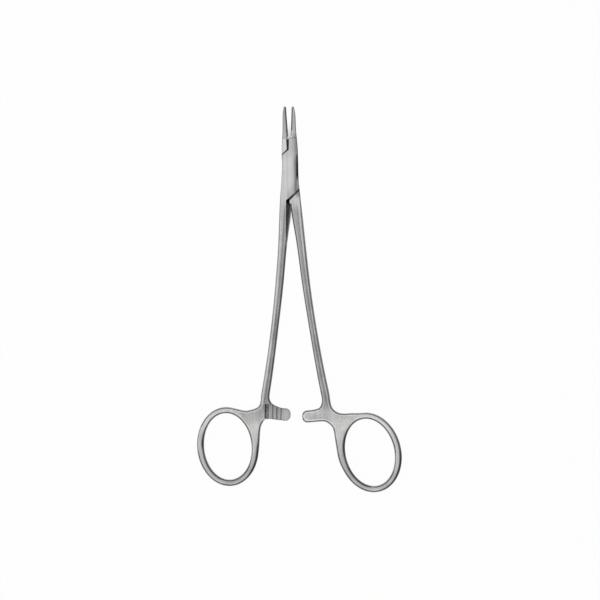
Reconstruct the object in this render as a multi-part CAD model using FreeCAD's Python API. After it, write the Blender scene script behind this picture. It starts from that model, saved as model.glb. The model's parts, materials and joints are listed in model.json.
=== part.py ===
import FreeCAD, Part
import math
import os
from FreeCAD import Vector

# A needle holder with a box lock: two forged steel halves that cross in the box and turn on one pin.
# The box half has the left shank, the slotted box and the right jaw.
# The tongue half has the right shank, the thin tongue in the slot and the left jaw.
# Units are millimetres and degrees.
# Each half is drawn with the jaws closed: v runs along the instrument from the pivot, positive
# towards the jaws, and u runs sideways, positive on the side of that half's own jaw.
# The finished halves are then turned apart to the resting angle.

# Pose
rest_angle = 5.4            # between the jaw faces as the instrument lies
opening_angle = 22.0        # further opening from there, up to the stop in the box

# Thickness along the instrument
box_thickness = 4.6
neck_thickness = 3.6
waist_thickness = 2.9
heel_thickness = 3.5
ring_thickness = 4.4
jaw_base_thickness = 4.4
jaw_tip_thickness = 1.7
flat_top = 7.6              # the box is flat from here
flat_end = -9.0             # to here

# Places along the instrument
jaw_length = 22.9           # from the pin to the tip
neck_v = -27.0
waist_v = -62.0
arm_v = -95.6               # middle of the box half's ratchet arm
arm_step = 0.9              # the tongue half's arm lies this much nearer the ring's end
heel_rise = 8.6             # from the box half's arm up to where the shanks end
full_drop = 5.4             # from that arm down to where the rings are at full thickness

# Box lock
tongue_thickness = 1.8
slot_clearance = 0.05       # between the tongue and each cheek
pin_radius = 1.25
pin_clearance = 0.04        # running fit of the tongue on the pin
shoulder_gap = 0.3          # jaw shoulder to cheek, jaws closed
heel_gap = 0.12             # shank shoulder to cheek, jaws closed
lock_gap = 0.1              # other gaps inside the box
stop_ease = 0.2             # turn left between the stops at full opening
hub_radius = 4.9            # round body of the tongue
stop_reach = 0.7            # how far the tongue's stop stands out of the hub
stop_angle = 56.0           # flank of that stop, up from the u axis
lip_angle = 60.0            # the hub's open side starts here
stop_relief = 30.0          # turn of the relief above the stop
cheek_top = 4.67            # where the cheek steps in from the jaw's flank
cheek_edge = 2.3            # cheek's open edge, from the middle line
cheek_corner = (-3.22, 3.9)     # upper outer corner of the cheek
throat = (-0.7, 6.1)            # where the cheek's slanted end meets the jaw
cheek_heel = (2.5, -9.94)       # lower open corner of the cheek
crotch = (-0.13, -12.31)        # where the cheek's lower slanted end meets the shank
crotch_rail = (0.90, -14.5)     # upper end of the shank's inner edge
tongue_hub_edge = (-2.9, -4.0)      # the tongue's hidden edge leaves the hub
tongue_root_edge = (-0.6, -12.7)    # and ends at the crotch
neck_edge = 2.95            # outer edge of the tongue beside its jaw
neck_ease = 0.6             # slanted step from that edge to the jaw's flank

# Jaws
jaw_root = 2.92             # width of one jaw beside the box
# Width of one jaw, by the share of its length from the box to the tip
jaw_widths = ((0.265, 2.45), (0.473, 1.99), (0.709, 1.70), (0.863, 1.42))
grip_start = 11.3           # the jaw faces meet from here to the tip
grip_gap = 0.02             # between the closed jaw faces
throat_step = 1.1           # length of the slanted step below the faces
taper_start = 10.6          # the jaws get thinner from here to the tip
tip_width = 0.95            # width where the tip's rounding begins
tip_length = 0.65           # length of that rounding on the flank side
tip_height = 0.45           # and on the face side
grip_length = 9.4           # serrated length
grip_bevel = 0.45           # slanted edge beside the serrated face
groove_pitch = 0.7
groove_depth = 0.12
groove_angle = 45.0

# Shanks
shank_offset = 1.40         # shank's middle line at the pin
shank_bow = 655.0           # radius of that line
neck_width = 3.66
waist_width = 2.94
heel_width = 3.30
neck_swell = 1.6            # how late the shank widens towards the neck
heel_swell = 1.8            # and towards the heel
rail_lean = 0.02            # slope of the inner edge at its upper end
bevel_slope = 0.53          # the inner flanks near the crotch pass each other on this slant
bevel_gap = 0.05            # each flank to the slant's middle plane

# Rings
ring_side_wall = 2.7
ring_end_wall = 2.4

# Ratchet arms
arm_height = 4.75
arm_corner = 2.0            # rounding of the arm's end, seen from above
arm_foot = 3.6              # from the cutter's run-out to where the arm's lower edge turns into the web
arm_gap = 0.05              # crest to the plane between the arms
tooth_depth = 0.55
tooth_count = 3
tooth_pitch = 1.63
last_tooth = -1.07          # upright face of the tooth nearest the tip
recess_floor = 0.21         # flat between the cutter's run-out in the web and the first tooth
recess_top = 1.6            # how far the recess reaches above the arm
lead_in = 1.3               # sloped end of the last tooth, at the tip
lead_drop = 0.35

# Rounded edges
box_round = 0.4
jaw_round = 0.34
body_round = 1.05
round_grows = -7.0          # the edges get rounder from here to the neck
hub_ease = 1.0              # the tongue half's outer flank begins to widen this much higher
wall_share = 0.45           # largest rounding, as a share of the wall it lies on
tip_share = 0.75            # the same at the jaw's tip

# What differs between the two halves.
# Points of the web are shares of the line between its ends: how far along, and how far off to its left.
# The arm's foot lies a little nearer the jaws than the arm's lower edge at its end.
# Points of the arm's root are counted from the corner of the shank's inner and the arm's upper edge.
box_half = {
    "flank": (cheek_corner, (-3.10, 0.0), (-3.26, round_grows), (-3.58, -13.5)),
    "arm_middle": arm_v,
    "arm_tip": 2.55,
    "arm_foot_rise": 0.4,
    "arm_root": ((4.0, 0.25), (2.55, 0.80), (1.02, 1.66), (0.32, 2.60)),
    "ring_offset": (-14.07, -12.78),    # ring's centre from the shank's line at the heel and the arm
    "ring_opening": (25.6, 18.24),
    "ring_lean": 7.6,
    "ring_join": (-15.0, -105.0),       # turns from the ring's end to where the web joins it
    "web_top": ((0.327, 0.348), (0.563, 0.312)),
    "web_side": ((0.244, 0.080), (0.553, 0.197), (0.773, 0.238), (0.923, 0.182)),
}
tongue_half = {
    "flank": ((-3.30, 4.65), (-3.12, 0.0), (-2.90, round_grows + hub_ease), (-3.12, -12.0)),
    "arm_middle": arm_v - arm_step,
    "arm_tip": 2.1,
    "arm_foot_rise": 0.05,
    "arm_root": ((4.0, 0.03), (2.25, 0.24), (0.72, 0.78), (-0.10, 2.10)),
    "ring_offset": (-15.77, -15.46),
    "ring_opening": (26.18, 18.64),
    "ring_lean": -10.3,
    "ring_join": (8.0, -110.0),
    "web_top": ((0.365, 0.327), (0.538, 0.307), (0.740, 0.174)),
    "web_side": ((0.252, 0.011), (0.451, 0.071), (0.657, 0.140), (0.815, 0.172), (0.927, 0.123)),
}

# A length well past any side of the instrument
beyond = 400.0
# How near a point counts as being on a line
snap = 0.001
heel_v = arm_v + heel_rise
full_ring_v = arm_v - full_drop
first_tooth = last_tooth - (tooth_count - 1) * tooth_pitch
tooth_floor = -arm_gap - tooth_depth
stop_radius = hub_radius + stop_reach
# The instrument lies on its thickest stretch
top = 0.5 * max(box_thickness, neck_thickness, heel_thickness, ring_thickness, jaw_base_thickness)
# The cutter's run-out is a quarter round from the instrument's top down to the floor of the teeth
cove = top - tooth_floor
recess_start = first_tooth - recess_floor - cove


def at(point, z=0.0):
    return Vector(point[0], point[1], z)


def shank_middle(v):
    return -(shank_offset + v * v / (2.0 * shank_bow))


def shank_width(v):
    """Width between the neck, the waist and the heel, without a kink at the waist."""
    if v > waist_v:
        share = (v - waist_v) / (neck_v - waist_v)
        return waist_width + (neck_width - waist_width) * share ** neck_swell
    share = (waist_v - v) / (waist_v - heel_v)
    return waist_width + (heel_width - waist_width) * share ** heel_swell


def shank_edge(v, side):
    """Point on the outer (side -1) or inner (side +1) edge of the shank."""
    return (shank_middle(v) + side * 0.5 * shank_width(v), v)


def shank_direction(v):
    slope = Vector(-v / shank_bow, 1.0, 0.0)
    return slope.normalize()


def shank_stations():
    """Places that fix the shank's edges, from the neck to the heel."""
    return [neck_v, 0.5 * (neck_v + waist_v), waist_v, heel_v]


def curve(places, start=None, end=None):
    """Smooth curve through points, with given directions at its two ends."""
    line = Part.BSplineCurve()
    if start is None:
        line.interpolate(Points=places)
    else:
        line.interpolate(Points=places, InitialTangent=start, FinalTangent=end)
    return line


def bowed(start, end, shares):
    """Points between two ends, each given as a share of the way and a share off to the left."""
    run = end - start
    left = Vector(-run.y, run.x, 0)
    return [start] + [start + run * along + left * off for along, off in shares] + [end]


def straight(a, b):
    return Part.LineSegment(at(a), at(b)).toShape()


def corner_arc(start, end, centre):
    """Quarter turn from start to end about a centre."""
    middle = at(start) + at(end) - at(centre) * 2.0
    reach = at(start).distanceToPoint(at(centre))
    middle = at(centre) + middle.normalize() * reach
    return Part.Arc(at(start), middle, at(end)).toShape()


def ring_frame(half):
    """Centre of a finger ring, the way to its end and the way to its outer side."""
    lean = math.radians(half["ring_lean"])
    up = Vector(-math.sin(lean), math.cos(lean), 0)
    out = Vector(-math.cos(lean), -math.sin(lean), 0)
    aside, below = half["ring_offset"]
    return Vector(shank_middle(heel_v) + aside, half["arm_middle"] + below, 0), up, out


def ring_ellipse(half, end_wall, side_wall):
    centre, up, out = ring_frame(half)
    length, width = half["ring_opening"]
    tip = centre + up * (0.5 * length + end_wall)
    side = centre + out * (0.5 * width + side_wall)
    return Part.Ellipse(tip, side, centre)


def body_edges(half):
    """Outer flank, web, ring and arm of one half, from the box down and back up to the crotch."""
    edges = []
    shank_outer = [shank_edge(v, -1) for v in shank_stations()]
    outer = curve([at(point) for point in list(half["flank"]) + shank_outer])
    cuts = [outer.parameter(at(point)) for point in (half["flank"][2], shank_outer[0])]
    bounds = [outer.FirstParameter] + cuts + [outer.LastParameter]
    for name, first, last in zip(("box", "neck", "shank"), bounds[:-1], bounds[1:]):
        edges.append((name, outer.toShape(first, last)))

    ellipse = ring_ellipse(half, ring_end_wall, ring_side_wall)
    top_turn, side_turn = (math.radians(turn) for turn in half["ring_join"])
    heel_out = outer.value(outer.LastParameter)
    heel_tangent = outer.tangent(outer.LastParameter)[0]
    web = curve(bowed(heel_out, ellipse.value(top_turn), half["web_top"]),
                heel_tangent, ellipse.tangent(top_turn)[0])
    edges.append(("web", web.toShape()))
    edges.append(("ring", ellipse.toShape(top_turn, side_turn + 2.0 * math.pi)))

    corner = min(arm_corner, wall_share * arm_height)
    arm_top = half["arm_middle"] + 0.5 * arm_height
    arm_bottom = half["arm_middle"] - 0.5 * arm_height
    foot = (recess_start + arm_foot, arm_bottom + half["arm_foot_rise"])
    arm_low = (half["arm_tip"] - corner, arm_bottom)
    lower = curve(bowed(ellipse.value(side_turn), at(foot), half["web_side"]),
                  ellipse.tangent(side_turn)[0], at(arm_low) - at(foot))
    edges.append(("web", lower.toShape()))
    arm_high = (half["arm_tip"] - corner, arm_top)
    face_low = (half["arm_tip"], arm_bottom + corner)
    face_high = (half["arm_tip"], arm_top - corner)
    edges.append(("arm", straight(foot, arm_low)))
    edges.append(("arm", corner_arc(arm_low, face_low, (arm_low[0], face_low[1]))))
    edges.append(("arm", straight(face_low, face_high)))
    edges.append(("arm", corner_arc(face_high, arm_high, (arm_high[0], face_high[1]))))

    shank_inner = [shank_edge(v, 1) for v in reversed(shank_stations())]
    root = [(shank_inner[0][0] + aside, arm_top + above) for aside, above in half["arm_root"]]
    upper = curve([at(point) for point in [arm_high] + root + [shank_inner[0]]],
                  Vector(-1, 0, 0), shank_direction(heel_v))
    edges.append(("web", upper.toShape()))
    inner = curve([at(point) for point in shank_inner + [crotch_rail]],
                  shank_direction(heel_v), Vector(rail_lean, 1, 0))
    edges.append(("shank", inner.toShape()))
    return edges


def slant_v(u):
    """Height of the cheek's lower slanted end at a place across it."""
    run = cheek_heel[0] - crotch[0]
    return crotch[1] + (u - crotch[0]) * (cheek_heel[1] - crotch[1]) / run


def shoulder_v(u):
    """Height of the jaw's shoulder on the tongue half, a gap above the cheek's upper slanted end."""
    rise = (throat[1] - cheek_corner[1]) / (throat[0] - cheek_corner[0])
    return throat[1] + shoulder_gap * math.hypot(1.0, rise) - (u + throat[0]) * rise


def heel_line_v(u):
    """Height of the shank's shoulder on the tongue half, a gap below the cheek's lower slanted end."""
    rise = (cheek_heel[1] - crotch[1]) / (cheek_heel[0] - crotch[0])
    return slant_v(-u) - heel_gap * math.hypot(1.0, rise)


def tongue_relief():
    """Inner edge of the tongue half's jaw, below the gripping face."""
    return -throat[0] + 1.5 * lock_gap


def jaw_edges(start, face_end):
    """Jaw from its flank round the tip and back down its flat face."""
    face = 0.5 * grip_gap
    sides = [start] + [(width, start[1] + share * (jaw_length - start[1])) for share, width in jaw_widths]
    crown = (tip_width, jaw_length - tip_length)
    tip_low = (face, jaw_length - tip_height)
    crown_top = (0.5 * (face + tip_width), jaw_length)
    return [
        ("jaw", curve([at(point) for point in sides + [crown]]).toShape()),
        ("jaw", Part.Arc(at(crown), at(crown_top), at(tip_low)).toShape()),
        ("face", straight(tip_low, face_end)),
    ]


def lock_edges(points):
    """Straight, square-edged lines of the box and the throat."""
    return [("lock", straight(a, b)) for a, b in zip(points[:-1], points[1:])]


def box_outline():
    """Whole outline of the box half, jaws closed."""
    rail_top = (crotch_rail[0], slant_v(crotch_rail[0]))
    jaw_base = (jaw_root, cheek_top)
    face_end = (0.5 * grip_gap, grip_start)
    step_end = (throat[0], grip_start - throat_step)
    edges = body_edges(box_half)
    edges += lock_edges([crotch_rail, rail_top, cheek_heel, (cheek_edge, cheek_top), jaw_base])
    edges += jaw_edges(jaw_base, face_end)
    edges += lock_edges([face_end, step_end, throat, cheek_corner])
    return edges


def tongue_outline():
    """Whole outline of the tongue half, jaws closed, with its own jaw on the +u side."""
    relief = tongue_relief()
    jaw_base = (jaw_root, cheek_top)
    face_end = (0.5 * grip_gap, grip_start + lock_gap)
    step_end = (relief, grip_start - throat_step)
    hub_low = (neck_edge, crotch_rail[1])
    hub_high = (neck_edge, cheek_top - neck_ease)
    edges = body_edges(tongue_half)
    edges += lock_edges([crotch_rail, hub_low, hub_high, jaw_base])
    edges += jaw_edges(jaw_base, face_end)
    edges += lock_edges([face_end, step_end, (relief, shoulder_v(relief)), tongue_half["flank"][0]])
    return edges


def plan(points):
    """Flat face over a plan polygon or any other closed row of points."""
    return Part.Face(Part.makePolygon(points + points[:1]))


def prism(points, low, high):
    """Solid over a plan polygon, between two heights."""
    return plan([at(point, low) for point in points]).extrude(Vector(0, 0, high - low))


def drum(radius, low, high, first=0.0, last=360.0):
    """Round cut about the pin, whole or from one angle to another."""
    axis = Vector(0, 0, 1)
    sector = Part.makeCylinder(radius, high - low, at((0, 0), low), axis, last - first)
    sector.rotate(Vector(0, 0, 0), axis, first)
    return sector


def jaw_slope():
    """Fall of each side of the jaw for each millimetre towards the tip."""
    return 0.5 * (jaw_base_thickness - jaw_tip_thickness) / (jaw_length - taper_start)


def side_profile():
    """Lower side of the instrument, seen from the side: how its thickness runs to the rings."""
    def low(v, thickness):
        return Vector(0, v, -0.5 * thickness)
    past_tip = 1.0
    tip = low(jaw_length + past_tip, jaw_tip_thickness - 2.0 * past_tip * jaw_slope())
    taper = low(taper_start, jaw_base_thickness)
    box_top = low(flat_top, box_thickness)
    box_end = low(flat_end, box_thickness)
    full = low(full_ring_v, ring_thickness)
    end = low(-beyond, ring_thickness)
    along = Vector(0, -1, 0)
    middles = [low(neck_v, neck_thickness), low(waist_v, waist_thickness), low(heel_v, heel_thickness)]
    wave = curve([box_end] + middles + [full], along, along)
    corners = (full, end, Vector(0, end.y, 0), Vector(0, tip.y, 0), tip, taper, box_top, box_end)
    stretches = [Part.LineSegment(a, b).toShape() for a, b in zip(corners[:-1], corners[1:])]
    profile = Part.Face(Part.Wire(stretches + [wave.toShape()])).extrude(Vector(2 * beyond, 0, 0))
    profile.translate(Vector(-beyond, 0, 0))
    return profile


def edge_radius(name, v):
    """Rounding of the outline's edges, by stretch and place along it."""
    wall = min(ring_end_wall, ring_side_wall, waist_width, neck_width, heel_width)
    full = min(body_round, wall_share * wall, wall_share * waist_thickness)
    if name in ("lock", "face"):
        return 0.0
    if name == "box":
        return box_round
    if name == "jaw":
        return min(jaw_round, tip_share * 0.5 * (tip_width - 0.5 * grip_gap))
    if name == "neck":
        share = min(max((round_grows - v) / (round_grows - neck_v), 0.0), 1.0)
        return box_round + (full - box_round) * share
    return full


def rounded(blank, outline):
    """Round the lower edges of a blank by the stretch of outline that each one follows."""
    rims = []
    for number, edge in enumerate(blank.Edges, 1):
        middle = edge.valueAt(0.5 * (edge.FirstParameter + edge.LastParameter))
        ends = [edge.valueAt(edge.FirstParameter), edge.valueAt(edge.LastParameter)]
        upright = abs(ends[0].x - ends[1].x) < snap and abs(ends[0].y - ends[1].y) < snap
        if middle.z > -snap or upright and abs(ends[0].z - ends[1].z) > snap:
            continue
        names = []
        for place in [middle] + ends:
            foot = Part.Vertex(at((place.x, place.y)))
            names.append([name for name, line in outline if line.distToShape(foot)[0] < snap])
        if all(names) and edge_radius(names[0][0], middle.y) > 0.0:
            rims.append((number, edge_radius(names[0][0], ends[0].y), edge_radius(names[0][0], ends[1].y)))
    document = FreeCAD.newDocument("rounding")
    base = document.addObject("Part::Feature", "Blank")
    base.Shape = blank
    fillet = document.addObject("Part::Fillet", "Rounded")
    fillet.Base = base
    fillet.Edges = rims
    document.recompute()
    return fillet.Shape.copy()


def forging(half, outline):
    """One half as forged and rounded, before the box is cut."""
    opening = ring_ellipse(half, 0.0, 0.0).toShape()
    hole = Part.Face(Part.Wire([opening]))
    outside = Part.Face(Part.Wire([edge for name, edge in outline]))
    plate = outside.cut(hole).Faces[0].extrude(Vector(0, 0, -top))
    lower = rounded(plate.common(side_profile()).Solids[0], outline + [("ring", opening)])
    upper = lower.mirror(Vector(0, 0, 0), Vector(0, 0, 1))
    return lower.fuse(upper).removeSplitter()


def past_bevel():
    """All that lies past the slant on which the two inner flanks pass each other."""
    low = Vector(-bevel_gap + bevel_slope * beyond, 0, -beyond)
    high = Vector(-bevel_gap - bevel_slope * beyond, 0, beyond)
    return plan([low, high, Vector(2 * beyond, 0, beyond), Vector(2 * beyond, 0, -beyond)]).extrude(
        Vector(0, waist_v, 0))


def ratchet_cutter(half):
    """What the cutter takes from the arm: a cove in the web, then the teeth out to the tip."""
    crest = -arm_gap
    start = Vector(recess_start, 0, top)
    end = Vector(recess_start + cove, 0, tooth_floor)
    middle = Vector(end.x - cove * math.sqrt(0.5), 0, start.z - cove * math.sqrt(0.5))
    points = [end]
    for place in range(tooth_count):
        edge = first_tooth + place * tooth_pitch
        points.append(Vector(edge, 0, tooth_floor))
        points.append(Vector(edge, 0, crest))
    lead = half["arm_tip"] - lead_in
    past = Vector(half["arm_tip"] + lead_in, 0, crest - 2 * lead_drop)
    points += [Vector(lead, 0, crest), past]
    points += [Vector(past.x, 0, 2 * top), Vector(start.x, 0, 2 * top), start]
    edges = [Part.Arc(start, middle, end).toShape()]
    edges += [Part.LineSegment(a, b).toShape() for a, b in zip(points[:-1], points[1:])]
    height = 2.0 * arm_height
    cutter = Part.Face(Part.Wire(edges)).extrude(Vector(0, -height, 0))
    cutter.translate(Vector(0, half["arm_middle"] + 0.5 * arm_height + recess_top, 0))
    return cutter


def jaw_grooves():
    """Fine grooves across the jaw's flat face, both ways."""
    face = 0.5 * grip_gap
    first = jaw_length - grip_length
    turn = math.radians(groove_angle)
    step = groove_pitch / math.sin(turn)
    reach = jaw_base_thickness / math.cos(turn)
    grooves = []
    for sense in (-1, 1):
        along = Vector(0, math.cos(turn), sense * math.sin(turn))
        across = Vector(0, -sense * math.sin(turn), math.cos(turn)) * (2.0 * groove_depth)
        for index in range(int((grip_length + jaw_base_thickness) / step)):
            bottom = Vector(face + groove_depth, first + (index + 0.5) * step, 0) - along * reach
            mouth = bottom - Vector(2.0 * groove_depth, 0, 0)
            grooves.append(plan([bottom, mouth + across, mouth - across]).extrude(along * (2.0 * reach)))
    serrated = Part.makeBox(4.0 * groove_depth, grip_length, 2.0 * top,
                            Vector(face - 2.0 * groove_depth, first, -top))
    return grooves[0].fuse(grooves[1:]).common(serrated)


def jaw_bevels():
    """Slanted edges above and below the serrated face."""
    face = 0.5 * grip_gap
    edge = Vector(0, taper_start, 0.5 * jaw_base_thickness)
    corners = [edge + Vector(face - grip_bevel, 0, -2.0 * grip_bevel),
               edge + Vector(face + 2.0 * grip_bevel, 0, grip_bevel),
               edge + Vector(face - grip_bevel, 0, grip_bevel)]
    run = jaw_length
    upper = plan(corners).extrude(Vector(0, run, -run * jaw_slope()))
    stretch = Part.makeBox(4.0 * grip_bevel, 2.0 * grip_length, top,
                           Vector(face - 2.0 * grip_bevel, jaw_length - grip_length, 0))
    upper = upper.common(stretch)
    return upper.fuse(upper.mirror(Vector(0, 0, 0), Vector(0, 0, 1)))


def make_box_half():
    """Left shank and ring, the box with its two cheeks and its slot, and the right jaw."""
    slot = 0.5 * tongue_thickness + slot_clearance
    wide = 2.0 * hub_radius
    deep = 2.0 * top
    last = stop_angle + rest_angle + opening_angle + stop_ease
    hub = drum(hub_radius + lock_gap, -slot, slot)
    stop_pocket = drum(stop_radius + lock_gap, -slot, slot, -90.0, last)
    high_u, high_v = tongue_hub_edge
    low_u, low_v = tongue_root_edge
    wall = [(high_u - lock_gap, 0.0), (high_u - lock_gap, high_v), (low_u - lock_gap, low_v),
            (low_u - lock_gap, 2.0 * low_v), (wide, 2.0 * low_v), (wide, 0.0)]
    channel = prism(wall, -slot, slot).common(drum(math.hypot(low_u, low_v) + lock_gap, -slot, slot))
    neck_side = throat[0] - 0.5 * lock_gap
    neck_way = prism([(-wide, 0.0), (neck_side, 0.0), (neck_side, wide), (-wide, wide)], -slot, slot)
    below = [(-wide, slant_v(-wide)), (wide, slant_v(wide)), (wide, waist_v), (-wide, waist_v)]
    flank = past_bevel().common(prism(below, -deep, deep))
    bore = drum(pin_radius, -deep, deep)
    solid = forging(box_half, box_outline())
    for cut in (hub, stop_pocket, channel, neck_way, flank, bore,
                ratchet_cutter(box_half), jaw_grooves(), jaw_bevels()):
        solid = solid.cut(cut)
    return solid


def make_tongue_half():
    """Shank and ring, the thin tongue and its jaw, drawn on the same side as the box half."""
    layer = 0.5 * tongue_thickness
    wide = 2.0 * hub_radius
    deep = 2.0 * top
    relief = tongue_relief()
    shoulder = (relief, shoulder_v(relief))
    clearance = [(wide, shoulder_v(wide)), shoulder, (-wide, shoulder[1]),
                 (-wide, heel_line_v(-wide)), (wide, heel_line_v(wide))]
    high_u, high_v = tongue_hub_edge
    low_u, low_v = tongue_root_edge
    hidden = [(-high_u, high_v), (-low_u, low_v), (-low_u, 2.0 * low_v), (wide, 2.0 * low_v), (wide, high_v)]
    reach = drum(math.hypot(low_u, low_v), -layer, layer)
    stop = 180.0 - stop_angle
    lip = drum(wide, -deep, deep, lip_angle, stop).cut(drum(hub_radius, -deep, deep))
    beside_jaw = prism([(-wide, 0), (relief, 0), shoulder, (-wide, shoulder[1])], -deep, deep)
    stop_face = drum(wide, -layer, layer, stop, stop + stop_relief).cut(drum(stop_radius, -deep, deep))
    solid = forging(tongue_half, tongue_outline())
    for cut in (prism(clearance, layer, deep), prism(clearance, -deep, -layer),
                prism(hidden, -layer, layer).common(reach), past_bevel().cut(reach),
                lip.common(beside_jaw), stop_face, drum(pin_radius + pin_clearance, -deep, deep),
                ratchet_cutter(tongue_half), jaw_grooves(), jaw_bevels()):
        solid = solid.cut(cut)
    return solid


def make_pin():
    """Flush pin, as long as the box is thick."""
    return drum(pin_radius, -0.5 * box_thickness, 0.5 * box_thickness)


def placed(solid, turn, turned_over=False):
    """Set a piece down on the plane z = 0, turned about the pin."""
    solid = solid.copy()
    if turned_over:
        solid.rotate(Vector(0, 0, 0), Vector(0, 1, 0), 180.0)
    solid.rotate(Vector(0, 0, 0), Vector(0, 0, 1), turn)
    solid.translate(Vector(0, 0, top))
    return solid


pieces = {
    "box_half": placed(make_box_half(), -0.5 * rest_angle),
    "tongue_half": placed(make_tongue_half(), 0.5 * rest_angle, turned_over=True),
    "pivot_pin": placed(make_pin(), 0.0),
}
os.makedirs("parts", exist_ok=True)
for name, shape in pieces.items():
    shape.exportStep("parts/" + name + ".step")
    box = shape.BoundBox
    print(name, shape.isValid(), len(shape.Solids), "solid", round(shape.Volume, 1), "mm3",
          [round(c, 2) for c in (box.XMin, box.YMin, box.ZMin, box.XMax, box.YMax, box.ZMax)])
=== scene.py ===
# %% [markdown]
# # A needle holder in satin steel
# The instrument is two forgings that cross in a box lock and turn on one pin.
# Its solids come from the construction model, exactly to size, so nothing here moves or reshapes them.
# What this script adds is all that the eye needs: true shading of rounded edges, the satin finish with
# its grain and its painted light and shade, a pale table, soft light and a camera straight above.

# %% Load the solids
import json
import math
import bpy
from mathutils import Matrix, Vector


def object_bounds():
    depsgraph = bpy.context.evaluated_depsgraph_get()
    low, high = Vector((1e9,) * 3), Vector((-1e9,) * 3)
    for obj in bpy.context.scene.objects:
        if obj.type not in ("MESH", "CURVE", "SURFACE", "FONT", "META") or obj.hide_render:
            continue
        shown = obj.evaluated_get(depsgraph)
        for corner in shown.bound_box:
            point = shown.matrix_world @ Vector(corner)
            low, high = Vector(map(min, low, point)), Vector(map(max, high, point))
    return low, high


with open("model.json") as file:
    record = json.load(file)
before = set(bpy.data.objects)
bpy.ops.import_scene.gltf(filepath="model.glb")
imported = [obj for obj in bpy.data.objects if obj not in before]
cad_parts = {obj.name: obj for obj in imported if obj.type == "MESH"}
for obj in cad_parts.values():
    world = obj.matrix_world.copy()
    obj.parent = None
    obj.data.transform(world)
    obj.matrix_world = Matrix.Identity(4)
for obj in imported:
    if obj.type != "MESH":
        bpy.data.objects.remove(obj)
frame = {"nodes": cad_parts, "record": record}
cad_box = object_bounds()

from types import SimpleNamespace
import bpy
from mathutils import Vector

MM = 0.001
size = cad_box[1] - cad_box[0]
print("pieces:", sorted(frame["nodes"]))
print("size in mm:", [round(side / MM, 1) for side in size])

# %% [markdown]
# ## Shading of the rounded edges
# A solid arrives as loose flat triangles. Lit as they are, a polished rounding would show as facets.
# A subdivision surface would smooth them, but it would also move the steel, which has to stay exact.
# So a small Geometry Nodes tree only joins the triangles at their corners and marks which edges stay
# crisp: wherever two faces meet at more than the crease angle, as at the slot of the box and the teeth.
# The Weighted Normal modifier then lets the large flat faces win over the narrow roundings beside
# them, so the flats stay flat up to their edge.

# %% Tree that welds the triangles and keeps crisp edges
weld_distance = 0.001 * MM
crease_angle = math.radians(24.0)
flats_weight = 70           # how far the large faces win over the small ones


def add_number(tree, name, value):
    """Named number that a node tree takes, with its usual value."""
    socket = tree.interface.new_socket(name, in_out="INPUT", socket_type="NodeSocketFloat")
    socket.default_value = value
    return socket.identifier


def crisp_edge_tree():
    """Geometry Nodes tree for the shading of a forging, and what its inputs are called inside."""
    tree = bpy.data.node_groups.new("crisp_edges", "GeometryNodeTree")
    for way in ("INPUT", "OUTPUT"):
        tree.interface.new_socket("Forging", in_out=way, socket_type="NodeSocketGeometry")
    inputs = {"weld": add_number(tree, "Weld distance", weld_distance),
              "crease": add_number(tree, "Crease angle", crease_angle)}
    given = tree.nodes.new("NodeGroupInput")
    result = tree.nodes.new("NodeGroupOutput")
    weld = tree.nodes.new("GeometryNodeMergeByDistance")
    faces = tree.nodes.new("GeometryNodeSetShadeSmooth")
    edges = tree.nodes.new("GeometryNodeSetShadeSmooth")
    edges.domain = "EDGE"
    angle = tree.nodes.new("GeometryNodeInputMeshEdgeAngle")
    soft = tree.nodes.new("FunctionNodeCompare")
    soft.data_type = "FLOAT"
    soft.operation = "LESS_THAN"
    link = tree.links.new
    link(given.outputs["Forging"], weld.inputs["Geometry"])
    link(given.outputs["Weld distance"], weld.inputs["Distance"])
    link(weld.outputs["Geometry"], faces.inputs["Geometry"])
    link(faces.outputs["Geometry"], edges.inputs["Geometry"])
    link(angle.outputs["Unsigned Angle"], soft.inputs["A"])
    link(given.outputs["Crease angle"], soft.inputs["B"])
    link(soft.outputs["Result"], edges.inputs["Shade Smooth"])
    link(edges.outputs["Geometry"], result.inputs["Forging"])
    return tree, inputs


edge_tree, edge_inputs = crisp_edge_tree()
for name, piece in frame["nodes"].items():
    crisp = piece.modifiers.new("crisp_edges", "NODES")
    crisp.node_group = edge_tree
    crisp[edge_inputs["weld"]] = weld_distance
    crisp[edge_inputs["crease"]] = crease_angle
    flats = piece.modifiers.new("flats_first", "WEIGHTED_NORMAL")
    flats.mode = "FACE_AREA"
    flats.weight = flats_weight
    flats.keep_sharp = True
    print(name, "triangles:", len(piece.data.polygons))

# %% [markdown]
# ## Satin steel
# Such an instrument is ground, then brushed and tumbled to a satin finish that doesn't dazzle under the
# lamp. Up close it has fine lines along each part and a slightly uneven gloss. An image could carry this,
# but it would need a seam and a resolution. A finish built from the Object coordinates has neither, and it
# stays on its piece when the piece swings. It takes much arithmetic on places, so the first step is a set
# of short helpers that make nodes and wire them.

# %% Helpers for material nodes
def feed(tree, socket, value):
    """Wire another node's output into a socket, or set its number."""
    if isinstance(value, bpy.types.NodeSocket):
        tree.links.new(value, socket)
    else:
        socket.default_value = value


def node(tree, kind, inputs=(), **settings):
    """New node with its settings and inputs."""
    made = tree.nodes.new(kind)
    for key, value in settings.items():
        setattr(made, key, value)
    for name, value in dict(inputs).items():
        feed(tree, made.inputs[name], value)
    return made


def parts_of(tree, vector):
    """The three numbers of a vector."""
    return node(tree, "ShaderNodeSeparateXYZ", {0: vector}).outputs


def maths(tree, operation, *values):
    """Arithmetic on outputs or numbers."""
    return node(tree, "ShaderNodeMath", enumerate(values), operation=operation).outputs[0]


def product(tree, *factors):
    """Product of several outputs or numbers."""
    value = factors[0]
    for factor in factors[1:]:
        value = maths(tree, "MULTIPLY", value, factor)
    return value


print("helpers:", [helper.__name__ for helper in (feed, node, parts_of, maths, product)])

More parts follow.
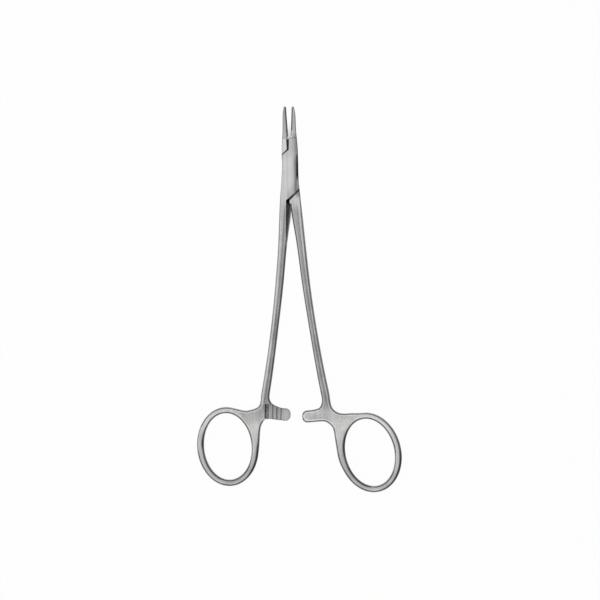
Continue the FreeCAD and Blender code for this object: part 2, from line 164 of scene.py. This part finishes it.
# %% [markdown]
# ## Where the finger rings are
# The polisher turns each finger ring under the wheel, so its finish runs round the ring's centre. The two
# centres could be typed in as numbers, but those would go stale when the construction changes. So they are
# read from the boxes that the record keeps clear for the fingers.

# %% Find the finger rings
openings = {hole["name"]: hole["box_m"] for hole in frame["record"]["physics"]["openings"]}


def ring_middle(name):
    """Centre of a finger ring, from the box that is kept clear for the finger."""
    low, high = (Vector(corner) for corner in openings[name])
    return 0.5 * (low + high)


ring_of = {"box_half": ring_middle("left_finger_ring"), "tongue_half": ring_middle("right_finger_ring")}
for name, centre in ring_of.items():
    print(name, "ring centre in mm:", [round(c / MM, 1) for c in centre])

# %% [markdown]
# ## The spot that is shaded
# Everything in the finish depends on where on the forging a spot is and which way its surface faces. These
# are gathered once for each material: the place, its distance and turn about the ring's centre, and its
# distance from the face where the two jaws meet, square to that face. That face is turned with its half.

# %% What a material knows of a spot
jaw_side = {"box_half": 1.0, "tongue_half": -1.0}       # 1 where a half's jaw is the right one
half_turn = math.radians(2.7)       # each half lies turned by this from the closed position


def spot(tree, half):
    """Place and facing of the spot that is shaded, on one half of the instrument."""
    place = node(tree, "ShaderNodeTexCoord").outputs["Object"]
    x, y, z = parts_of(tree, place)
    ring = ring_of[half]
    aside = maths(tree, "SUBTRACT", x, ring.x)
    below = maths(tree, "SUBTRACT", y, ring.y)
    reach = maths(tree, "SQRT", maths(tree, "ADD", product(tree, aside, aside), product(tree, below, below)))
    facing = parts_of(tree, node(tree, "ShaderNodeTexCoord").outputs["Normal"])
    off_face = maths(tree, "SUBTRACT", product(tree, x, jaw_side[half] * math.cos(half_turn)),
                     product(tree, y, math.sin(half_turn)))
    return SimpleNamespace(tree=tree, half=half, place=place, x=x, y=y, z=z, reach=reach,
                           turn=maths(tree, "ARCTAN2", below, aside), off_face=off_face,
                           to_right=facing["X"], upright=maths(tree, "ABSOLUTE", facing["Z"]))


print("the jaw faces are turned by", round(math.degrees(half_turn), 1), "degrees each")

# %% [markdown]
# ## Fades from one tone to the next
# On real steel no tone stops at a line, because belt and tumbler work across every border. A colour ramp
# could make such a fade, but it hides its numbers inside the node. A Map Range node with a smooth step
# turns a span of places into a range of tones, and both are written where they are used.

# %% Helpers for fades
fades_in, fades_out = (0.0, 1.0), (1.0, 0.0)


def spread(tree, value, span, result):
    """Turn a span of values smoothly into a range of results."""
    made = node(tree, "ShaderNodeMapRange", {"Value": value, "From Min": span[0], "From Max": span[1],
                                             "To Min": result[0], "To Max": result[1]},
                interpolation_type="SMOOTHSTEP")
    return made.outputs["Result"]


def blend(tree, share, none, full):
    """Blend from one value to another by a share."""
    mix = node(tree, "ShaderNodeMix", {"Factor": share, "A": none, "B": full}, data_type="FLOAT")
    return mix.outputs["Result"]


print("results of a fade:", fades_in, "or", fades_out)

# %% [markdown]
# ## Grain
# A belt or a brush leaves lines a few hundredths of a millimetre wide, straight along the jaws, the box and
# the shanks, and round along the rings, because the polisher turns the ring under the wheel. Noise that is
# squeezed across the grain and stretched along it gives such lines at any distance. Each material makes
# both kinds and blends them where the web joins shank and ring.

# %% Grain that follows the instrument
grain_across = 9000.0       # fine lines across each metre
grain_along = 160.0         # and how quickly a line changes along its length
ring_radius = 12.0 * MM     # turns a turn about a ring into a length
rings_begin = -94.0 * MM    # the rings begin here, below the shanks
grain_blend = 10.0 * MM     # length over which the straight grain turns into the round one
fine_lines = (1.0, 3.0)     # scale and detail of the lines
broad_streaks = (0.09, 2.0)     # and of the wide streaks between them
line_roughness = 0.6
cloud_detail = 2.0          # detail of the noise without a direction


def grain(at, scale, detail):
    """One value of the grain, straight or round by place."""
    tree = at.tree
    height = product(tree, at.z, grain_across)
    straight = (product(tree, at.x, grain_across), product(tree, at.y, grain_along), height)
    around = (product(tree, at.reach, grain_across), product(tree, at.turn, grain_along * ring_radius), height)
    values = []
    for vector in (straight, around):
        stretched = node(tree, "ShaderNodeCombineXYZ", enumerate(vector)).outputs[0]
        lines = node(tree, "ShaderNodeTexNoise", {"Vector": stretched, "Scale": scale, "Detail": detail,
                                                  "Roughness": line_roughness})
        values.append(lines.outputs["Fac"])
    share = spread(tree, at.y, (rings_begin - grain_blend, rings_begin), fades_out)
    return blend(tree, share, *values)


def clouds(at, scale):
    """Soft noise without a direction."""
    noise = node(at.tree, "ShaderNodeTexNoise", {"Vector": at.place, "Scale": scale, "Detail": cloud_detail})
    return noise.outputs["Fac"]


print("grain lines per mm:", grain_across * MM)

# %% [markdown]
# ## Tone of roundings and cut edges
# The flats are brushed and light. The roundings beside them are darker, and the upright sides less so:
# that is painted shade. The solids carry the roundings, and the painted shade follows their slant. The
# arms of the ratchet are cut after that, so their edges are sharp. Their painted dark line can't follow a
# slant, so a bevel that only the shading sees finds it: close to a sharp edge, it tilts the surface away
# from its true direction.

# %% Roundings, sides and cut edges
round_share = 0.50          # how light the roundings are beside the flats
side_share = 0.80           # and the upright sides
round_slants = (0.0, math.radians(62.0))                    # from a flat to the steep part of a rounding
side_slants = (math.radians(66.0), math.radians(84.0))      # from there to an upright side
cut_share = 0.35            # how light the cut edges are
cut_width = 0.60 * MM       # how far in from such an edge the shading is rounded
cut_tilts = (0.93, 0.998)   # cosine of the tilt, at the edge and where the dull line ends
arms_below = (-80.0 * MM, -70.0 * MM)       # the arms lie below this along the instrument
arms_under = (2.4 * MM, 2.7 * MM)           # and their cut faces under this height
bevel_samples = 8


def rounding_shade(at):
    """Painted shade: darker roundings between the brushed flats and the upright sides."""
    slant = maths(at.tree, "ARCCOSINE", at.upright)
    return product(at.tree, spread(at.tree, slant, round_slants, (1.0, round_share)),
                   spread(at.tree, slant, side_slants, (1.0, side_share / round_share)))


def rounded_normal(tree, radius):
    """Direction of the surface as if its edges were rounded, for the shading only."""
    return node(tree, "ShaderNodeBevel", {"Radius": radius}, samples=bevel_samples).outputs["Normal"]


def cut_edge_shade(at):
    """Painted shade: dark lines along the cut edges of the ratchet."""
    tree = at.tree
    true_normal = node(tree, "ShaderNodeNewGeometry").outputs["Normal"]
    tilt = node(tree, "ShaderNodeVectorMath", {0: rounded_normal(tree, cut_width), 1: true_normal},
                operation="DOT_PRODUCT").outputs["Value"]
    on_arm = product(tree, spread(tree, at.y, arms_below, fades_out), spread(tree, at.z, arms_under, fades_out))
    return blend(tree, on_arm, 1.0, spread(tree, tilt, cut_tilts, (cut_share, 1.0)))


print("beside the flats: roundings", round_share, "sides", side_share, "cut edges", cut_share)

# %% [markdown]
# ## Tone of the jaws
# The jaws slope down to the tips from a crease at their root, so they catch less of the light, and the left
# one least: that is painted shade, and so is the darker crease. The inner edge of the left jaw, where the
# needle is gripped, has a painted shade, and that of the right jaw a painted highlight. All of this is a
# matter of place, so each tone is a smooth step along or across the forging.

# %% Jaws, crease and inner edges
jaw_start = 10.6 * MM       # the jaws slope down from here to the tips
jaw_share = {"box_half": 0.94, "tongue_half": 0.73}     # how light the jaws are
jaw_step = (jaw_start - 0.2 * MM, jaw_start + 0.2 * MM)
jaw_crease_shade = 0.78         # how light the crease at the root of the jaws is
crease_reach = (0.1 * MM, 0.6 * MM)
inner_edge = {"box_half": 0.46 * MM, "tongue_half": 0.66 * MM}      # width of a jaw's inner edge
inner_fade = (-0.05 * MM, 0.15 * MM)
inner_start = (jaw_start, jaw_start + 0.6 * MM)
inner_highlight = 1.45          # how light that edge is on the right jaw
inner_shade = (0.35, 0.62)   # and on the left jaw, below its teeth and beside them
teeth_start = (13.5 * MM, 15.0 * MM)


def distance(tree, value, place):
    """How far a value is from a place, on either side."""
    return maths(tree, "ABSOLUTE", maths(tree, "SUBTRACT", value, place))


def jaw_shade(at):
    """Painted shade on the jaws, darker still at the crease at their root."""
    off_start = distance(at.tree, at.y, jaw_start)
    return product(at.tree, spread(at.tree, at.y, jaw_step, (1.0, jaw_share[at.half])),
                   spread(at.tree, off_start, crease_reach, (jaw_crease_shade, 1.0)))


def jaw_inner_edge_shading(at):
    """Inner edge of each jaw: painted shade on the left jaw, a painted highlight on the right one."""
    tree = at.tree
    edge_end = [inner_edge[at.half] + fade for fade in inner_fade]
    on_edge = product(tree, spread(tree, at.off_face, edge_end, fades_out),
                      spread(tree, at.y, inner_start, fades_in))
    share = inner_highlight if at.half == "box_half" else spread(tree, at.y, teeth_start, inner_shade)
    return blend(tree, on_edge, 1.0, share)


print("beside the box: jaws", jaw_share, "crease", jaw_crease_shade)

# %% [markdown]
# ## Tone of the box
# The box is the widest flat and the lightest one. It darkens towards its right side, and its upper cheek
# also towards its upper end, its right edge and its slanted end. All this darkening is painted shade, set
# by place, since slightly hollow flats would change the steel. The photograph doesn't say whether these
# are reflections or slightly hollow flats. Hollows would change the steel, so they are tones, by place.

# %% Box and upper cheek
box_reach = (11.0 * MM, 13.0 * MM)      # the box ends this far from the pin
away_dark = 0.52            # how much darker its right side gets
away_step = (0.6 * MM, 2.8 * MM)
upper_share = 0.78          # how light the upper end of the upper cheek is
upper_step = (1.5 * MM, 7.0 * MM)
cheek_dark = 0.46           # how much darker its right edge gets
cheek_step = (0.8 * MM, 2.0 * MM)
cheek_under = (1.0 * MM, 5.0 * MM)
slant_share = 0.74          # how light it is at its slanted end
slant_reach = (0.0, 4.8 * MM)
slant_begin = (-2.0 * MM, -1.0 * MM)
shoulder_line = ((-0.71 * MM, -12.29 * MM), (2.03 * MM, -10.05 * MM))   # where that end lies


def box_shade(at):
    """Painted shade: the box darkens to its right side, and its upper cheek to two more sides."""
    tree = at.tree
    on_box = spread(tree, maths(tree, "ABSOLUTE", at.y), box_reach, fades_out)
    away = product(tree, on_box, spread(tree, at.x, away_step, (0.0, away_dark)))
    tone = maths(tree, "SUBTRACT", 1.0, away)
    if at.half == "box_half":
        cheek = product(tree, on_box, spread(tree, at.y, cheek_under, fades_out),
                        spread(tree, at.x, cheek_step, (0.0, cheek_dark)))
        tone = product(tree, tone, spread(tree, at.y, upper_step, (1.0, upper_share)),
                       maths(tree, "SUBTRACT", 1.0, cheek))
    return tone


def below_shoulder(at):
    """How far a spot lies below the slanted end of the cheek."""
    (x0, y0), (x1, y1) = shoulder_line
    run = math.hypot(x1 - x0, y1 - y0)
    across = ((y1 - y0) / run, (x0 - x1) / run)
    here = maths(at.tree, "ADD", product(at.tree, at.x, across[0]), product(at.tree, at.y, across[1]))
    return maths(at.tree, "SUBTRACT", here, across[0] * x0 + across[1] * y0)


def cheek_shade(at):
    """Painted shade: the upper cheek darkens towards its slanted end."""
    tree = at.tree
    off_end = maths(tree, "ABSOLUTE", below_shoulder(at))
    return blend(tree, spread(tree, at.x, slant_begin, fades_in), 1.0,
                 spread(tree, off_end, slant_reach, (slant_share, 1.0)))


print("upper cheek: upper end", upper_share, "slanted end", slant_share)

# %% [markdown]
# ## Tone of the shanks
# Each shank shows two bands, a lighter outer one and a darker inner one, with a thin crease between them.
# On the real forging the shank may be slightly hollow or stepped there. The step is too shallow to measure
# from above, so it isn't modelled: the bands and the crease are painted light and shade. They follow the
# middle line of the shank, which is an arc that starts a little off the pin.

# %% Shanks
box_end = -12.5 * MM                    # the shanks begin here
shank_end = -90.0 * MM                  # and end here, where the webs of the rings begin
shank_offset = 1.40 * MM                # middle line of a shank at the pin
shank_bow = 655.0 * MM                  # radius of that line
bands = (0.94, 0.68)                    # how light the outer and the inner band are
band_step = (-0.45 * MM, 0.05 * MM)     # from one to the other, across the middle line
shank_crease_shade = 0.70                     # how light the crease between them is
shank_crease_place = -0.1 * MM
shank_crease_reach = (0.08 * MM, 0.42 * MM)
shank_fade = 6.0 * MM                   # the bands fade in and out over this length
web_light = 1.18                        # how light the webs below the shanks are
web_step = (shank_end - 3.0 * MM, shank_end)


def shank_light_and_shade(at):
    """Painted light and shade: two bands along each shank, a darker crease between them, lighter webs."""
    tree = at.tree
    bow = maths(tree, "DIVIDE", product(tree, at.y, at.y), 2.0 * shank_bow)
    off_middle = maths(tree, "ADD", maths(tree, "ADD", at.off_face, bow), shank_offset)
    painted_crease = spread(tree, distance(tree, off_middle, shank_crease_place), shank_crease_reach, (shank_crease_shade, 1.0))
    on_shank = product(tree, spread(tree, at.y, (box_end - shank_fade, box_end), fades_out),
                       spread(tree, at.y, (shank_end - shank_fade, shank_end), fades_in))
    shank = blend(tree, on_shank, 1.0, product(tree, spread(tree, off_middle, band_step, bands), painted_crease))
    return product(tree, shank, spread(tree, at.y, web_step, (web_light, 1.0)))


print("shanks: outer and inner band", bands, "crease between them", shank_crease_shade)

# %% [markdown]
# ## Tone of the rings
# The rings are polished rods, so they mirror the room more clearly than the flats. The half of each rod that
# faces right is dark, most of all in two places, and the rest is cloudy. A true mirror of a room would need
# the photographer's room. So the rod's facing comes from a bevel as wide as the rod, seen by the shading
# only, and the two places from the turn about the ring.

# %% Rings
ring_share = 0.72                       # how light the rings are
ring_step = (-108.0 * MM, -99.0 * MM)
cloudy_step = (-106.0 * MM, -98.0 * MM)     # where the dark halves and the clouds begin
rod_radius = 1.6 * MM                   # rounding that the shading sees
right_facing = (0.02, 0.30)             # sideways part of that direction, from light to dark
right_dark = 0.68                       # how much darker the right-facing half gets
patch_turn = math.radians(155.0)        # turn of one dark patch; the other lies across the ring
patch_span = (0.30, 0.85)               # cosine of twice the turn from a patch
patch_least = 0.35                      # share of the darkness that is left between the patches
cloud_scale = 55.0
cloud_span = (0.40, 0.58)
cloud_tones = (0.80, 1.12)


def ring_tone(at):
    """Painted reflection: rings darker where they face right, in two patches, and cloudy all around."""
    tree = at.tree
    on_ring = spread(tree, at.y, cloudy_step, fades_out)
    to_right = parts_of(tree, rounded_normal(tree, rod_radius))["X"]
    twice = product(tree, maths(tree, "SUBTRACT", at.turn, patch_turn), 2.0)
    patch = spread(tree, maths(tree, "COSINE", twice), patch_span, (patch_least, 1.0))
    dark = product(tree, on_ring, spread(tree, to_right, right_facing, (0.0, right_dark)), patch)
    cloudy = blend(tree, on_ring, 1.0, spread(tree, clouds(at, cloud_scale), cloud_span, cloud_tones))
    return product(tree, spread(tree, at.y, ring_step, (ring_share, 1.0)),
                   maths(tree, "SUBTRACT", 1.0, dark), cloudy)


print("turn of a ring's first dark patch, degrees:", round(math.degrees(patch_turn)))

# %% [markdown]
# ## Tone inside the lock and on the ratchet
# The level faces inside the lock are painted nearly black: a painted shade, for the deep gap between the
# halves. The painted shade is lighter where the lock opens at its lower right. The teeth of the ratchet lie
# as deep, but they are open to the light: painted highlights on the slopes with a painted shade at their
# foot, and a painted highlight on a wall beside them where the cutter ran out. The shoulder of the right
# shank has a painted shadow along its edge, just below the slanted end of the cheek. The solids carry all
# these faces, so each tone is found from height, slant and place.

# %% Lock, teeth and shoulder
sunk_height = (3.25 * MM, 3.45 * MM)        # faces below this are sunk
jaw_root = (jaw_start - 0.3 * MM, jaw_start)
level_faces = (0.80, 0.93)                  # upright part of the direction, from steep to level
lock_from_ratchet = (-60.0 * MM, -20.0 * MM)
lock_shade = 0.07                           # how light the lock's floor is beside the pin
slit_light, slit_step = 0.22, (-6.0 * MM, -3.0 * MM)        # and in the slit below it
open_light, open_step = 0.85, (-6.5 * MM, -3.5 * MM)        # and where the lock opens
open_right = (0.8 * MM, 1.6 * MM)
foot_height = (1.72 * MM, 1.86 * MM)        # height of the foot of a tooth
foot_tones = (0.60, 0.72)
slope_faces, slope_highlight = (0.955, 0.99), 2.10              # slopes of the teeth
wall_light = 2.1                            # wall of the cutter's run-out
wall_facing = (0.2, 0.5)
wall_right, wall_left = (-11.0 * MM, -10.4 * MM), (-12.6 * MM, -12.4 * MM)
wall_foot = (2.1 * MM, 2.5 * MM)
wall_low, wall_high = (-101.0 * MM, -100.0 * MM), (-90.0 * MM, -89.0 * MM)
shoulder_shadow_share = 0.20                       # how light the painted shadow along the shoulder's edge is
shoulder_place = 0.2 * MM
shoulder_reach = (0.25 * MM, 0.75 * MM)


def sunk_light_and_shade(at):
    """Painted light and shade on sunk level faces: black in the lock, dark at the foot of the teeth, light on
    their slopes.
    """
    tree = at.tree
    sunk = product(tree, spread(tree, at.z, sunk_height, fades_out), spread(tree, at.y, jaw_root, fades_out),
                   spread(tree, at.upright, level_faces, fades_in))
    teeth = product(tree, spread(tree, at.z, foot_height, foot_tones),
                    spread(tree, at.upright, slope_faces, (slope_highlight, 1.0)))
    lock = blend(tree, spread(tree, at.x, open_right, fades_in),
                 spread(tree, at.y, slit_step, (slit_light, lock_shade)),
                 spread(tree, at.y, open_step, (open_light, lock_shade)))
    in_lock = spread(tree, at.y, lock_from_ratchet, fades_in)
    return blend(tree, sunk, 1.0, blend(tree, in_lock, teeth, lock))


def run_out_highlight(at):
    """Painted highlight on the wall of the cutter's run-out beside the teeth."""
    tree = at.tree
    on_wall = product(tree, spread(tree, at.to_right, wall_facing, fades_in),
                      spread(tree, at.x, wall_right, fades_out), spread(tree, at.x, wall_left, fades_in),
                      spread(tree, at.z, wall_foot, fades_in),
                      spread(tree, at.y, wall_low, fades_in), spread(tree, at.y, wall_high, fades_out))
    return blend(tree, on_wall, 1.0, wall_light)


def shoulder_shadow(at):
    """Painted shadow along the edge of the shank's shoulder, below the slanted end of the cheek."""
    off_edge = distance(at.tree, below_shoulder(at), shoulder_place)
    return spread(at.tree, off_edge, shoulder_reach, (shoulder_shadow_share, 1.0))


print("lock: floor", lock_shade, "slit", slit_light, "where it opens", open_light)

# %% [markdown]
# ## The finish itself
# Stainless steel is a metal, so the material has one grey and a roughness, no more. The grey is multiplied
# by the grain, by soft clouds and by all the tones above, most of which are painted light and shade. The
# roughness follows the grain on the flats and is lower on the tumbled roundings. A very faint bump lets the
# lines catch the light. Each half gets its own material, because its tones and its ring's centre are its
# own. The pin is ground and brushed together with the box, so it shares the box half's.

# %% Satin steel for both halves and the pin
steel_grey = (0.585, 0.585, 0.58)
line_span, line_tones = (0.25, 0.75), (0.98, 1.02)
streak_span, streak_tones = (0.3, 0.7), (0.90, 1.06)
haze_scale = 120.0
haze_span, haze_tones = (0.3, 0.7), (0.90, 1.05)
gloss_span, flat_gloss = (0.2, 0.8), (0.23, 0.27)       # roughness of the flats, from line to line
haze_gloss = (-0.03, 0.04)                              # and how the clouds change it
round_gloss = 0.16                                      # roughness of the tumbled roundings
flat_faces = (0.95, 0.999)                              # upright part of the direction, from rounding to flat
bump_strength, bump_depth = 0.03, 0.02 * MM


def satin_steel(half):
    """Brushed stainless steel for one half, with grain, uneven gloss and painted light and shade."""
    material = bpy.data.materials.new("satin_steel_" + half)
    material.use_nodes = True
    tree = material.node_tree
    at = spot(tree, half)
    lines = grain(at, *fine_lines)
    haze = clouds(at, haze_scale)
    tones = [spread(tree, lines, line_span, line_tones),
             spread(tree, grain(at, *broad_streaks), streak_span, streak_tones),
             spread(tree, haze, haze_span, haze_tones)]
    tones += [tone(at) for tone in (rounding_shade, cut_edge_shade, jaw_shade, jaw_inner_edge_shading, box_shade, shank_light_and_shade,
                                    ring_tone, sunk_light_and_shade)]
    tones += [tone(at) for tone in ((run_out_highlight, cheek_shade) if half == "box_half" else (shoulder_shadow,))]
    tint = node(tree, "ShaderNodeVectorMath", {0: steel_grey, "Scale": product(tree, *tones)},
                operation="SCALE")
    brushed = maths(tree, "ADD", spread(tree, lines, gloss_span, flat_gloss),
                    spread(tree, haze, haze_span, haze_gloss))
    roughness = blend(tree, spread(tree, at.upright, flat_faces, fades_in), round_gloss, brushed)
    bump = node(tree, "ShaderNodeBump", {"Strength": bump_strength, "Distance": bump_depth, "Height": lines})
    surface = tree.nodes["Principled BSDF"]
    for name, value in (("Metallic", 1.0), ("Base Color", tint.outputs[0]), ("Roughness", roughness),
                        ("Normal", bump.outputs["Normal"])):
        feed(tree, surface.inputs[name], value)
    print(material.name, "nodes:", len(tree.nodes))
    return material


finishes = {half: satin_steel(half) for half in jaw_side}
finishes["pivot_pin"] = finishes["box_half"]
for name, piece in frame["nodes"].items():
    piece.data.materials.clear()
    piece.data.materials.append(finishes[name])
    print(name, "finish:", finishes[name].name)

# %% [markdown]
# ## Table
# The photograph shows the instrument from straight above on plain white, with hardly any shadow. Such a
# ground is a matt sheet that is lit to pure white. Lamps that are strong enough for that would burn out the
# steel, so most of what the camera and the steel see of the sheet is its own white, and the rest is lit and
# keeps the instrument's faint shadow. Where steel hems the sheet in, and below the lock, where hardly any
# light gets in through the slits, its own white fades out.

# %% Matt white sheet
table_width = 6.0
own_white = 0.97            # share of the table's look that needs no light
sheet_grey = 0.92           # how light the sheet is under the lamps
lock_shadow_grey = 0.30            # and below the lock
hem_distance = 6.0 * MM     # how far the sheet looks for steel around it
hem_samples = 16
hem_span = (0.06, 0.22)     # share of open sky over which its own white fades in
lock_sides = (2.0 * MM, 2.4 * MM)
lock_upper = (jaw_start - 0.4 * MM, jaw_start + 0.4 * MM)
lock_lower = (box_end - 2.6 * MM, box_end - 1.6 * MM)


def plain_table():
    """White sheet below the instrument, with a look of its own for the camera and the steel."""
    bpy.ops.mesh.primitive_plane_add(size=table_width, location=(0, 0, 0))
    table = bpy.context.object
    table.name = "table_top"
    material = bpy.data.materials.new("white_table")
    material.use_nodes = True
    tree = material.node_tree
    place = parts_of(tree, node(tree, "ShaderNodeTexCoord").outputs["Object"])
    below_lock = product(tree, spread(tree, maths(tree, "ABSOLUTE", place["X"]), lock_sides, fades_out),
                         spread(tree, place["Y"], lock_upper, fades_out),
                         spread(tree, place["Y"], lock_lower, fades_in))
    open_sky = node(tree, "ShaderNodeAmbientOcclusion", {"Distance": hem_distance}, samples=hem_samples)
    path = node(tree, "ShaderNodeLightPath").outputs
    seen = maths(tree, "MAXIMUM", path["Is Camera Ray"],
                 maths(tree, "MAXIMUM", path["Is Glossy Ray"], path["Is Transmission Ray"]))
    share = product(tree, seen, spread(tree, open_sky.outputs["AO"], hem_span, (0.0, own_white)),
                    maths(tree, "SUBTRACT", 1.0, below_lock))
    matt = tree.nodes["Principled BSDF"]
    # Below the lock the sheet's own colour is painted darker: a painted shadow.
    for name, value in (("Base Color", blend(tree, below_lock, sheet_grey, lock_shadow_grey)), ("Roughness", 1.0),
                        ("Specular IOR Level", 0.0)):
        feed(tree, matt.inputs[name], value)
    white = node(tree, "ShaderNodeEmission", {"Strength": 1.0})
    mix = node(tree, "ShaderNodeMixShader", {"Fac": share, 1: matt.outputs[0], 2: white.outputs[0]})
    feed(tree, tree.nodes["Material Output"].inputs["Surface"], mix.outputs[0])
    table.data.materials.append(material)
    return table


table = plain_table()
print("table, m across:", round(table.dimensions.x, 2))

# %% [markdown]
# ## Soft light with a gap overhead
# Polished steel shows what stands around it. In the photograph the flats of the shanks are darker than the
# box and the rings, as if the opening in the soft box for the camera stood above them. The sides that face
# right are darker than those that face left. So four soft panels leave an opening above the shanks, a fifth
# one far to the right is weak, a low panel stands on the left, a dim one on the right, and the room is grey.

# %% Light
panel_height = 0.40
panel_reach = 0.55          # how far the overhead panels go, from the pin
gap_x = (-0.045, 0.045)     # the opening above the shanks
gap_y = (-0.120, -0.045)
near_right = 0.15           # the bright panel on the right ends here
overhead_panels = (         # name, across, along and brightness
    ("overhead_left", (-panel_reach, gap_x[0]), (-panel_reach, panel_reach), 0.80),
    ("overhead_right", (gap_x[1], near_right), (-panel_reach, panel_reach), 0.90),
    ("overhead_far_right", (near_right, panel_reach), (-panel_reach, panel_reach), 0.22),
    ("overhead_far", gap_x, (gap_y[1], panel_reach), 0.92),
    ("overhead_near", gap_x, (-panel_reach, gap_y[0]), 1.1),
)
low_length = 0.9
low_panels = (              # name, sideways place, height, width and brightness
    ("low_left", -0.7, 0.25, 0.35, 0.75),
    ("low_right", 0.7, 0.15, 0.25, 0.06),
)
room_grey = 0.20
middle = 0.5 * (cad_box[0] + cad_box[1])


def soft_panel(name, place, aim, width, length, brightness):
    """Rectangular soft box with a given brightness of its face."""
    lamp = bpy.data.lights.new(name, "AREA")
    lamp.shape = "RECTANGLE"
    lamp.size = width
    lamp.size_y = length
    lamp.energy = brightness * math.pi * width * length
    panel = bpy.data.objects.new(name, lamp)
    bpy.context.scene.collection.objects.link(panel)
    panel.location = place
    panel.rotation_euler = (aim - place).to_track_quat("-Z", "Y").to_euler()
    print(name, "power in W:", round(lamp.energy, 3))


for name, across, along, brightness in overhead_panels:
    place = Vector((0.5 * sum(across), 0.5 * sum(along), panel_height))
    soft_panel(name, place, place - Vector((0, 0, 1)), across[1] - across[0], along[1] - along[0], brightness)
for name, sideways, height, width, brightness in low_panels:
    soft_panel(name, Vector((sideways, middle.y, height)), middle, width, low_length, brightness)
world = bpy.data.worlds.new("studio")
bpy.context.scene.world = world
world.use_nodes = True
room = world.node_tree.nodes["Background"]
feed(world.node_tree, room.inputs["Color"], (room_grey, room_grey, room_grey, 1.0))

# %% [markdown]
# ## Camera straight above
# Catalogue pictures of instruments are taken from straight above with a long lens, so that both ends look
# equally large. The instrument is turned a little in its picture, and here the camera is turned instead.

# %% Camera
view_width = 0.2307         # what the photograph shows across, at the instrument's mid height
view_middle = (0.00264, -0.05160)
camera_turn = math.radians(-1.28)
lens = 135.0
sensor_width = 36.0
camera_data = bpy.data.cameras.new("above")
camera_data.lens = lens
camera_data.sensor_width = sensor_width
camera_data.clip_start = 0.01
camera = bpy.data.objects.new("above", camera_data)
bpy.context.scene.collection.objects.link(camera)
camera.location = (*view_middle, middle.z + view_width * lens / sensor_width)
camera.rotation_euler = (0.0, 0.0, camera_turn)
bpy.context.scene.camera = camera
bpy.context.scene.view_settings.view_transform = "Standard"
print("camera height in m:", round(camera.location.z, 3))
